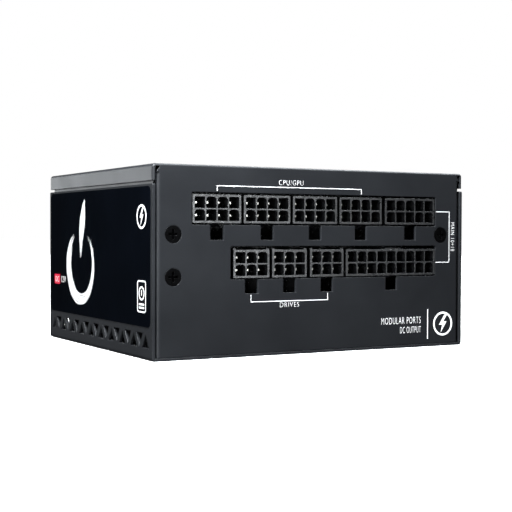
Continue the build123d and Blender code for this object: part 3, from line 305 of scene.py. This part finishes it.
sockets = sorted(name for name in nodes if name.endswith("_socket") or "_socket_" in name)
FINISHES = {
    paint: ["chassis_shell", "fan_cover"],
    guard_paint: ["fan_guard"],
    socket_plastic: sockets,
    inlet_plastic: ["ac_inlet", "switch_housing"],
    rocker_plastic: ["switch_rocker"],
    fan_plastic: ["fan_frame", "fan_rotor"],
    nylon: ["fan_plug"],
    epoxy: ["power_transistors", "bridge_rectifier"],
    relay_case: ["inrush_relay"],
    film_box: ["x_capacitors"],
    ceramic: ["y_capacitors"],
    label_film: ["left_label", "right_label", "rating_label"],
    black_steel: ["panel_screws", "cover_screws", "fan_screws"],
    zinc: ["main_board_screws", "main_board_spacers", "modular_board_spacers", "earth_nut"],
    tin: ["contact_pins", "inlet_blades", "switch_terminals"],
    shaft_steel: ["fan_shaft"],
    bronze: ["fan_bearing"],
    heatsink: ["primary_heatsink", "secondary_heatsink"],
    copper_bar: ["bus_bars"],
    lamination: ["fan_stator"],
    ferrite: ["fan_magnet", "transformer_core"],
    fan_coil: ["fan_windings"],
    choke_coil: ["line_chokes", "pfc_choke"],
    tape: ["transformer_windings", "standby_transformer"],
    board_mask: ["main_board", "control_board", "fan_circuit"],
    black_mask: ["modular_board"],
    sleeve: ["bulk_capacitor", "output_capacitors"],
    film_sheet: ["insulating_sheet"],
    black_wire: ["fan_lead", "mains_wires"],
    green_wire: ["earth_lead"],
    fuse_glass: ["fuse"],
}
for finish, names in FINISHES.items():
    for name in names:
        nodes[name].data.materials.clear()
        nodes[name].data.materials.append(finish)
unpainted = set(nodes) - {name for names in FINISHES.values() for name in names}
if unpainted:
    raise ValueError(f"no finish for {sorted(unpainted)}")


# ---------------------------------------------------------------- printed artwork, in millimetres
class Canvas:
    """A printed face: x to the reader's right and y up, in millimetres from its lower left corner."""

    def __init__(self, origin, right, up, body):
        right, up = Vector(right), Vector(up)
        out = right.cross(up)
        turn = Matrix((right, up, out)).transposed().to_4x4()
        self.matrix = Matrix.Translation(origin) @ turn @ Matrix.Scale(MM, 4)
        self.body = body

    def piece(self, name, mesh, finish, slot):
        mesh.transform(self.matrix)
        made = bpy.data.objects.new(name, mesh)
        scene.collection.objects.link(made)
        mesh.materials.clear()
        mesh.materials.append(finish)
        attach(made, self.body)


front = Canvas((shell_low.x, shell_low.y, 0), (1, 0, 0), (0, 0, 1), "case")
left = Canvas((left_face, shell_high.y, 0), (0, -1, 0), (0, 0, 1), "case")
right = Canvas((right_face, shell_low.y, 0), (0, 1, 0), (0, 0, 1), "case")
top = Canvas((label_corner.x, label_corner.y, top_face), (1, 0, 0), (0, 1, 0), "case")
INK_LIFT = 0.004
INK_DEPTH = 0.02
INK_OVER_INK = INK_DEPTH + 0.005
SMALLEST_TRIANGLE = 1e-9

# Lettering: height of a capital at size 1, and the share of a letter's usual spacing
CAPITAL = 0.7
LETTER_SPACING = 1.16


def slab_mesh(outlines):
    """A thin closed slab for each outline.

    An outline is a list of points, or a list of such loops in which the later ones are holes.
    """
    mesh = bpy.data.meshes.new("ink")
    shape = bmesh.new()
    for outline in outlines:
        loops = outline if isinstance(outline[0], list) else [outline]
        flat = [Vector((x, y, 0)) for loop in loops for x, y in loop]
        triangles = tessellate_polygon([[Vector((x, y, 0)) for x, y in loop] for loop in loops])
        low = [shape.verts.new((p.x, p.y, INK_LIFT)) for p in flat]
        high = [shape.verts.new((p.x, p.y, INK_LIFT + INK_DEPTH)) for p in flat]
        for a, b, c in triangles:
            normal = (flat[b] - flat[a]).cross(flat[c] - flat[a]).z
            if abs(normal) < SMALLEST_TRIANGLE:
                continue
            order = (a, b, c) if normal > 0 else (c, b, a)
            shape.faces.new([high[i] for i in order])
            shape.faces.new([low[i] for i in reversed(order)])
        start = 0
        for loop in loops:
            count = len(loop)
            for i in range(count):
                j = (i + 1) % count
                shape.faces.new((low[start + i], low[start + j], high[start + j], high[start + i]))
            start += count
    bmesh.ops.recalc_face_normals(shape, faces=shape.faces)
    shape.to_mesh(mesh)
    shape.free()
    return mesh


def bar(x0, y0, x1, y1):
    """A rectangle between two corners."""
    return [(x0, y0), (x1, y0), (x1, y1), (x0, y1)]


def arc(cx, cy, radius, start=0.0, end=360.0, steps=32):
    """Points round a centre between two angles in degrees; a full circle doesn't repeat its first point."""
    full = abs(end - start) >= 360
    count = steps if full else steps + 1
    angles = [math.radians(start + (end - start) * i / steps) for i in range(count)]
    return [(cx + radius * math.cos(a), cy + radius * math.sin(a)) for a in angles]


CORNER_STEPS = 6


def rounded(x0, y0, x1, y1, radius):
    """A rectangle with rounded corners."""
    corners = ((x1 - radius, y1 - radius, 0), (x0 + radius, y1 - radius, 90),
               (x0 + radius, y0 + radius, 180), (x1 - radius, y0 + radius, 270))
    points = []
    for cx, cy, start in corners:
        points += arc(cx, cy, radius, start, start + 90, CORNER_STEPS)
    return points


def ring(cx, cy, outer, inner):
    """A circle with a round hole."""
    return [arc(cx, cy, outer), arc(cx, cy, inner)[::-1]]


def frame_outline(x0, y0, x1, y1, radius, width):
    """A line of some width along the inside of a rounded rectangle."""
    inner = rounded(x0 + width, y0 + width, x1 - width, y1 - width, max(radius - width, 0.1))
    return [rounded(x0, y0, x1, y1, radius), inner[::-1]]


def bolt(cx, cy, height):
    """A plain lightning bolt about a centre."""
    unit = (
        (0.12, 0.5), (-0.26, -0.06), (-0.03, -0.06), (-0.14, -0.5),
        (0.27, 0.12), (0.03, 0.12), (0.3, 0.5),
    )
    return [(cx + x * height, cy + y * height) for x, y in unit]


def lettering(text, x, y, height, width, align="CENTER", turn=0.0, weight=-0.018):
    """Plain capitals as a thin closed mesh, in canvas millimetres; x, y is the baseline's anchor."""
    curve = bpy.data.curves.new("text", "FONT")
    curve.body = text
    curve.size = 1.0
    curve.align_x = align
    curve.extrude = 0.5
    curve.offset = weight
    curve.space_character = LETTER_SPACING
    curve.resolution_u = 3
    holder = bpy.data.objects.new("text", curve)
    scene.collection.objects.link(holder)
    bpy.context.view_layer.update()
    mesh = bpy.data.meshes.new_from_object(holder.evaluated_get(bpy.context.evaluated_depsgraph_get()))
    bpy.data.objects.remove(holder)
    xs = [corner.co.x for corner in mesh.vertices]
    mesh.transform(Matrix.Diagonal((width / (max(xs) - min(xs)), height / CAPITAL, INK_DEPTH, 1)))
    mesh.transform(Matrix.Translation((0, 0, INK_LIFT + INK_DEPTH / 2)))
    mesh.transform(Matrix.Rotation(math.radians(turn), 4, "Z"))
    mesh.transform(Matrix.Translation((x, y, 0)))
    return mesh


BRISTLES = 11
MOST_RAGGED_START = (0.05, 0.1)
MOST_RAGGED_END = (0.12, 0.26)
BRISTLE_SWAY = 0.02
THINNEST = 0.08


def brush_stroke(points, widths, seed, steps=40):
    """A dry-brush stroke: bristle marks side by side along a smooth path, ragged at both ends.

    Each ragged end is a share of the length, at the middle bristle and what the outermost adds to it.
    """
    chance = random.Random(seed)
    path = smooth(points, steps)
    spread = smooth([(w, 0) for w in widths], steps)
    outlines = []
    for index in range(BRISTLES):
        side = (index + 0.5) / BRISTLES - 0.5
        rag = abs(side) * 2
        first = int(steps * chance.uniform(0.0, MOST_RAGGED_START[0] + MOST_RAGGED_START[1] * rag))
        last = int(steps * (1 - chance.uniform(0.0, MOST_RAGGED_END[0] + MOST_RAGGED_END[1] * rag)))
        phase = chance.uniform(0, 6.28)
        left_edge, right_edge = [], []
        for i in range(first, last + 1):
            here = Vector(path[i])
            ahead = Vector(path[min(i + 1, steps)])
            behind = Vector(path[max(i - 1, 0)])
            along = (ahead - behind).normalized()
            across = Vector((-along.y, along.x))
            width = spread[i][0]
            share = (i - first) / max(last - first, 1)
            body = min(1.0, share * 9, (1 - share) * 7) ** 0.6
            thick = width / BRISTLES * (0.5 + 0.1 * math.sin(phase + i * 0.7)) * max(body, THINNEST)
            middle = here + across * (width * (side + BRISTLE_SWAY * math.sin(phase + i * 0.35)))
            left_edge.append(tuple(middle + across * thick))
            right_edge.append(tuple(middle - across * thick))
        outlines.append(left_edge + right_edge[::-1])
    return outlines


def smooth(points, steps):
    """Points along a Catmull-Rom curve through the given ones."""
    known = [Vector(points[0])] + [Vector(p) for p in points] + [Vector(points[-1])]
    spans = len(points) - 1
    found = []
    for step in range(steps + 1):
        at = step / steps * spans
        i = min(int(at), spans - 1)
        t = at - i
        a, b, c, d = known[i:i + 4]
        square = 2 * a - 5 * b + 4 * c - d
        cube = 3 * b - a - 3 * c + d
        spot = 0.5 * (2 * b + (c - a) * t + square * t * t + cube * t ** 3)
        found.append((spot.x, spot.y))
    return found


def print_on(canvas, name, outlines, finish=white_ink):
    """Outlines printed on a canvas as one piece."""
    canvas.piece(name, slab_mesh(outlines), finish, "label_film")


def write_on(canvas, name, *words_and_place, lift=0.0, **settings):
    """White lettering on a canvas as one piece; lift raises it over other ink."""
    mesh = lettering(*words_and_place, **settings)
    mesh.transform(Matrix.Translation((0, 0, lift)))
    canvas.piece(name, mesh, white_ink, "label_film")


# Connector panel: half the width of the printed lines, the weight of the smallest words, and the places
# of the line that joins the two rows' ends
HALF_LINE = 0.11
SMALL_WEIGHT = -0.024
SIDE_LINE_X = 119.1
SIDE_LINE_FROM_X = 112.9
SIDE_LINE_HEIGHTS = (30.8, 49.3)
TEXT_RIGHT_X = 106.4
PANEL_SYMBOL = (116.4, 8.2)


def bracket(canvas, name, x0, x1, y, legs_to):
    """A bar that gathers a group of sockets, with a leg at each end."""
    low, high = sorted((y, legs_to))
    print_on(canvas, name, [
        bar(x0 - HALF_LINE, y - HALF_LINE, x1 + HALF_LINE, y + HALF_LINE),
        bar(x0 - HALF_LINE, low, x0 + HALF_LINE, high),
        bar(x1 - HALF_LINE, low, x1 + HALF_LINE, high),
    ])


bracket(front, "print_bracket_upper", 23.1, 80.0, 56.75, 55.0)
write_on(front, "print_upper_sockets", "CPU/GPU", 51.3, 57.5, 1.8, width=9.6, weight=SMALL_WEIGHT)
bracket(front, "print_bracket_lower", 35.8, 66.1, 18.3, 20.7)
write_on(front, "print_lower_sockets", "DRIVES", 50.75, 16.2, 1.7, width=7.5, weight=SMALL_WEIGHT)
lower_z, upper_z = SIDE_LINE_HEIGHTS
print_on(front, "print_bracket_side", [
    bar(SIDE_LINE_X - HALF_LINE, lower_z - HALF_LINE, SIDE_LINE_X + HALF_LINE, upper_z + HALF_LINE),
    bar(SIDE_LINE_FROM_X, upper_z - HALF_LINE, SIDE_LINE_X, upper_z + HALF_LINE),
    bar(SIDE_LINE_FROM_X, lower_z - HALF_LINE, SIDE_LINE_X, lower_z + HALF_LINE),
])
write_on(front, "print_side_sockets", "MAIN 10+18", 119.9, 40.2, 1.7, width=10.5, turn=-90)
write_on(front, "print_line_1", "MODULAR PORTS", TEXT_RIGHT_X, 8.7, 2.5, width=17.4, align="RIGHT")
write_on(front, "print_line_2", "DC OUTPUT", TEXT_RIGHT_X, 5.3, 2.4, width=9.2, align="RIGHT")
print_on(front, "print_divider", [bar(109.3, 2.9, 109.65, 13.7)])
print_on(front, "print_symbol", [ring(*PANEL_SYMBOL, 4.4, 3.7), bolt(*PANEL_SYMBOL, 6.6)])

# Side artwork, on a canvas that starts at the case's lower corner
RING_MIDDLE = (35.0, 29.5)
RING_RADIUS = 12.8
RING_ANGLES = (122, 150, 180, 215, 250, 285, 320, 355, 390, 418)
RING_WIDTHS = (1.6, 4.0, 5.0, 5.2, 4.6, 3.8, 3.0, 2.2, 1.6, 1.0)
STEM = ((39.0, 53.5), (37.0, 46.5), (35.5, 39.0), (34.6, 31.5))
STEM_WIDTHS = (1.4, 4.8, 4.0, 1.6)
TAG = (5.9, 21.4, 12.1, 25.2)
TAG_BASELINE = 22.2
SIDE_SYMBOL = (91.6, 46.5)
BADGE = (88.2, 15.3, 95.3, 25.8)
BADGE_RING = (91.75, 21.6)
BADGE_LINES = ((91.45, 20.9, 92.05, 22.6), (89.6, 17.7, 93.9, 18.3), (89.6, 16.6, 93.9, 17.2))


def side_artwork(canvas, word):
    """Brush-painted power symbol, a red tag, a small symbol and a plain badge."""
    around = [(RING_MIDDLE[0] + RING_RADIUS * math.cos(math.radians(angle)),
               RING_MIDDLE[1] + RING_RADIUS * math.sin(math.radians(angle))) for angle in RING_ANGLES]
    print_on(canvas, f"{word}_brush_ring", brush_stroke(around, RING_WIDTHS, 7, steps=90))
    print_on(canvas, f"{word}_brush_stem", brush_stroke(STEM, STEM_WIDTHS, 5))
    print_on(canvas, f"{word}_tag", [rounded(*TAG, 0.4)], red_ink)
    write_on(canvas, f"{word}_tag_text", "DC", 9.0, TAG_BASELINE, 2.2, width=3.9, weight=0.0,
             lift=INK_OVER_INK)
    write_on(canvas, f"{word}_volts", "12V", 15.9, TAG_BASELINE, 2.4, width=5.0, weight=0.0)
    print_on(canvas, f"{word}_symbol", [ring(*SIDE_SYMBOL, 4.0, 3.3), bolt(*SIDE_SYMBOL, 6.0)])
    print_on(canvas, f"{word}_badge", [
        frame_outline(*BADGE, 1.2, 0.5),
        ring(*BADGE_RING, 2.3, 1.75),
        *[bar(*corners) for corners in BADGE_LINES],
    ])


side_artwork(left, "left")
side_artwork(right, "right")

# Rating label: a plain table of outputs, with generic words and figures only
COLUMNS = (4.0, 22.0, 34.0, 46.0, 58.0, 70.0, 88.0)
ROWS = (52.0, 44.0, 36.0, 28.0)
HEADS = ("DC OUTPUT", "+12V", "+5V", "+3.3V", "-12V", "+5VSB")
AMPS = ("MAX CURRENT", "50A", "15A", "15A", "0.3A", "2.5A")
BASELINES = (46.8, 38.8)
HALF_RULE = 0.15
CELL_TEXT = 1.9
LETTER_WIDTH = 1.35
WIDEST_WORD = 13.5
LEFT_MARGIN = 4.0
LABEL_SYMBOL = (8.0, 10.0)
BAR_COUNT = 30
FIRST_BAR_X = 58.0
BAR_ENDS = (6.0, 14.0)
table = [bar(COLUMNS[0], y - HALF_RULE, COLUMNS[-1], y + HALF_RULE) for y in ROWS]
table += [bar(x - HALF_RULE, ROWS[-2], x + HALF_RULE, ROWS[0]) for x in COLUMNS[2:-1]]
table += [bar(x - HALF_RULE, ROWS[-1], x + HALF_RULE, ROWS[0]) for x in (COLUMNS[0], COLUMNS[1], COLUMNS[-1])]
print_on(top, "rating_table", table)
write_on(top, "rating_title", "POWER SUPPLY UNIT", LEFT_MARGIN, 56.0, 3.4, width=42.0, align="LEFT")
for baseline, words in zip(BASELINES, (HEADS, AMPS)):
    for index, word in enumerate(words):
        middle_x = (COLUMNS[index] + COLUMNS[index + 1]) / 2
        name = f"rating_{word.lower().replace(' ', '_').replace('+', 'p')}"
        width = min(LETTER_WIDTH * len(word), WIDEST_WORD)
        write_on(top, name, word, middle_x, baseline, CELL_TEXT, width=width)
write_on(top, "rating_power", "TOTAL POWER", 13.0, 30.8, CELL_TEXT, width=WIDEST_WORD)
write_on(top, "rating_watts", "600W", 55.0, 30.6, 2.4, width=8.0)
write_on(top, "rating_input", "AC INPUT  100-240V  8-4A  50-60Hz", LEFT_MARGIN, 20.0, 2.2, width=50.0,
         align="LEFT")
print_on(top, "rating_symbols", [
    ring(*LABEL_SYMBOL, 4.0, 3.4), bolt(*LABEL_SYMBOL, 6.0),
    frame_outline(15.0, 6.0, 23.0, 14.0, 0.6, 0.5), frame_outline(17.4, 8.4, 20.6, 11.6, 0.4, 0.5),
])
chance = random.Random(3)
starts = [FIRST_BAR_X + i for i in range(BAR_COUNT)]
print_on(top, "rating_bars", [
    bar(start, BAR_ENDS[0], start + chance.uniform(0.25, 0.75), BAR_ENDS[1]) for start in starts
])


# ---------------------------------------------------------------- marks that ride on the moving parts
ROCKER_VALLEY_Y = 51.0
ROCKER_LEAN = math.radians(20)
MARK_RISE = 4.4
rocker_low, rocker_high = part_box("switch_rocker")
valley = (rocker_low + rocker_high) / 2
valley.y = ROCKER_VALLEY_Y * MM


def rocker_mark(name, outlines, rise, lean):
    """A mark on one of the rocker's two faces, read from behind the unit."""
    up = Vector((0, -math.sin(lean), math.cos(lean)))
    face = Canvas(valley + up * rise * MM, (-1, 0, 0), up, "rocker")
    face.piece(name, slab_mesh(outlines), white_ink, "label_film")


rocker_mark("rocker_on_mark", [bar(-0.35, -1.6, 0.35, 1.6)], MARK_RISE, 0.0)
rocker_mark("rocker_off_mark", [ring(0, 0, 1.7, 1.15)], -MARK_RISE, ROCKER_LEAN)

# Hub of the fan: two printed rings and an arrow for the way it turns, seen from below
hub = Canvas((0, 0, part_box("fan_rotor")[0].z), (1, 0, 0), (0, -1, 0), "rotor")
ARROW_HEAD = [(-7.6, 8.9), (-8.2, 6.1), (-5.6, 6.8)]
arrow = arc(0, 0, 10.2, 30, 130) + ARROW_HEAD + arc(0, 0, 9.4, 124, 30)
print_on(hub, "hub_print", [ring(0, 0, 13.4, 12.9), ring(0, 0, 5.2, 4.8), arrow])


# ---------------------------------------------------------------- floor and light, in metres and watts
FLOOR_SIDE = 6.0
FLOOR_GLOW = 0.6
GLOW_FROM, GLOW_TO = 0.2, 0.7
PAINTED_SHADOW_INSET = 0.002
CARD_INSET = 0.0004
CARD_LIFT = 0.001
AMBIENT = 0.035
LIGHT_COLOUR = (0.93, 0.97, 1.0)


def sheet_mesh(name, x, y, z):
    """A flat sheet about the vertical axis, from its half sizes and height."""
    mesh = bpy.data.meshes.new(name)
    mesh.from_pydata([(-x, -y, z), (x, -y, z), (x, y, z), (-x, y, z)], [], [(0, 1, 2, 3)])
    return mesh


def make_floor():
    """A plain pale floor with a painted shadow under the unit, dark and without glow there so that no bright
    floor shows through the unit, and clear from below.
    """
    mesh = sheet_mesh("floor", FLOOR_SIDE, FLOOR_SIDE, 0)
    floor = bpy.data.objects.new("floor", mesh)
    scene.collection.objects.link(floor)
    finish = Finish("floor", (0.92, 0.92, 0.92), 0.7)
    spot = finish.node("ShaderNodeSeparateXYZ", {"Vector": finish.place})
    # Painted shadow: a mask of the floor under the unit, which is made near black and given no glow
    painted_shadow_mask = None
    for axis, reach in (("X", shell_high.x - PAINTED_SHADOW_INSET), ("Y", shell_high.y - PAINTED_SHADOW_INSET)):
        away = finish.node("ShaderNodeMath", {0: spot.outputs[axis]}, operation="ABSOLUTE").outputs[0]
        inside = finish.node("ShaderNodeMath", {0: away, 1: reach}, operation="LESS_THAN").outputs[0]
        if painted_shadow_mask is not None:
            inside = finish.node("ShaderNodeMath", {0: painted_shadow_mask, 1: inside}, operation="MULTIPLY").outputs[0]
        painted_shadow_mask = inside
    base = finish.tint(finish.noise(300.0), (0.93, 0.93, 0.93), (0.91, 0.91, 0.91))
    # The painted shadow: near black under the unit
    finish.layer(base, painted_shadow_mask, (0.01, 0.01, 0.01))
    finish.shader.inputs["Emission Color"].default_value = (1, 1, 1, 1)
    distance = finish.node("ShaderNodeVectorMath", {0: finish.place}, operation="LENGTH").outputs["Value"]
    near = finish.ramp(distance, GLOW_FROM, GLOW_TO, FLOOR_GLOW, 1.0)
    # No glow inside the painted shadow under the unit
    glow = finish.node("ShaderNodeMath", {0: near, 1: painted_shadow_mask}, operation="SUBTRACT").outputs[0]
    finish.tree.links.new(glow, finish.shader.inputs["Emission Strength"])
    behind = finish.node("ShaderNodeNewGeometry").outputs["Backfacing"]
    clear = finish.node("ShaderNodeBsdfTransparent")
    mix = finish.node("ShaderNodeMixShader", {0: behind, 1: finish.shader.outputs[0], 2: clear.outputs[0]})
    finish.tree.links.new(mix.outputs[0], finish.tree.nodes["Material Output"].inputs["Surface"])
    mesh.materials.append(finish.material)
    floor.visible_diffuse = False
    floor.visible_glossy = False
    floor.visible_shadow = False


def make_card():
    """An unseen card close over the top plate that keeps the near light's glare off it.

    Gives the collection that lets every other light pass through the card.
    """
    x, y = shell_high.x - CARD_INSET, -shell_low.y - CARD_INSET
    mesh = sheet_mesh("light_card", x, y, shell_high.z + CARD_LIFT)
    card = bpy.data.objects.new("light_card", mesh)
    scene.collection.objects.link(card)
    mesh.materials.append(Finish("card", (0.02, 0.02, 0.02), 0.9).material)
    for ray in ("camera", "diffuse", "glossy", "transmission"):
        setattr(card, f"visible_{ray}", False)
    passing = bpy.data.collections.new("unblocked")
    passing.objects.link(card)
    passing.collection_objects[0].light_linking.link_state = "EXCLUDE"
    return passing


def make_light(name, place, target, width, height, power, only=(), spared=(), carded=False):
    """A soft, faintly cool rectangular light, which may reach only some pieces or spare some.

    The card stops a carded light alone, and only where the light is sampled directly.
    """
    data = bpy.data.lights.new(name, "AREA")
    data.shape = "RECTANGLE"
    data.size = width
    data.size_y = height
    data.energy = power
    data.color = LIGHT_COLOUR
    light = bpy.data.objects.new(name, data)
    scene.collection.objects.link(light)
    place, target = Vector(place), Vector(target)
    light.location = place
    light.rotation_mode = "QUATERNION"
    light.rotation_quaternion = (target - place).to_track_quat("-Z", "Y")
    light.visible_camera = False
    data.cycles.use_multiple_importance_sampling = not carded
    if not carded:
        light.light_linking.blocker_collection = unblocked
    if only or spared:
        picked = bpy.data.collections.new(name)
        for piece in only or spared:
            picked.objects.link(nodes[piece])
        for entry in picked.collection_objects:
            entry.light_linking.link_state = "INCLUDE" if only else "EXCLUDE"
        light.light_linking.receiver_collection = picked


def make_world():
    """White to the camera; as a light source, a faint even fill."""
    world = bpy.data.worlds.new("studio")
    scene.world = world
    world.use_nodes = True
    tree = world.node_tree
    tree.nodes.clear()
    output = tree.nodes.new("ShaderNodeOutputWorld")
    mix = tree.nodes.new("ShaderNodeMixShader")
    seen = tree.nodes.new("ShaderNodeBackground")
    lit = tree.nodes.new("ShaderNodeBackground")
    path = tree.nodes.new("ShaderNodeLightPath")
    seen.inputs["Color"].default_value = (1, 1, 1, 1)
    seen.inputs["Strength"].default_value = 1.0
    lit.inputs["Color"].default_value = (0.97, 0.98, 1, 1)
    lit.inputs["Strength"].default_value = AMBIENT
    tree.links.new(path.outputs["Is Camera Ray"], mix.inputs[0])
    tree.links.new(lit.outputs[0], mix.inputs[1])
    tree.links.new(seen.outputs[0], mix.inputs[2])
    tree.links.new(mix.outputs[0], output.inputs["Surface"])


middle = (cad_low + cad_high) / 2
front_middle = Vector((0, shell_low.y, 0.04))
left_middle = Vector((shell_low.x, 0, 0.04))
make_floor()
make_world()
unblocked = make_card()
# name, place, target, width, height, power
make_light("near_top_left", (-0.125, -0.145, 0.21), front_middle, 0.1, 0.1, 3.3, spared=sockets, carded=True)
make_light("front_softbox", (0.10, -1.1, 0.10), front_middle, 0.9, 0.7, 0.3)
make_light("rim_light", (0.30, -0.9, 0.08), front_middle, 0.3, 0.4, 6.0, only=sockets)
make_light("pin_light", (0.07, -0.95, 0.08), front_middle, 0.2, 0.3, 22.0, only=["contact_pins"])
make_light("edge_light", (0.55, -0.02, 0.95), middle, 0.4, 0.4, 21.0)
make_light("left_strip", (-1.05, -0.58, 0.15), middle, 0.12, 1.0, 10.5)
make_light("lip_light", (-0.27, 0.55, 0.09), left_middle, 0.25, 0.25, 1.15, only=["chassis_shell"])
make_light("wall_light", (-0.27, 0.55, 0.09), left_middle, 0.25, 0.25, 0.11, only=["fan_cover"])
make_light("top", (0.0, 0.1, 1.2), middle, 1.4, 1.4, 9.0)
make_light("rear_right", (0.9, 0.9, 0.5), middle, 1.3, 1.3, 14.0)
make_light("rear", (0.8, 1.3, 0.5), middle, 1.0, 1.0, 10.0)
make_light("below", (0.2, -0.3, -1.0), middle, 0.9, 0.9, 30.0,
           spared=["chassis_shell", "panel_screws"] + sockets)
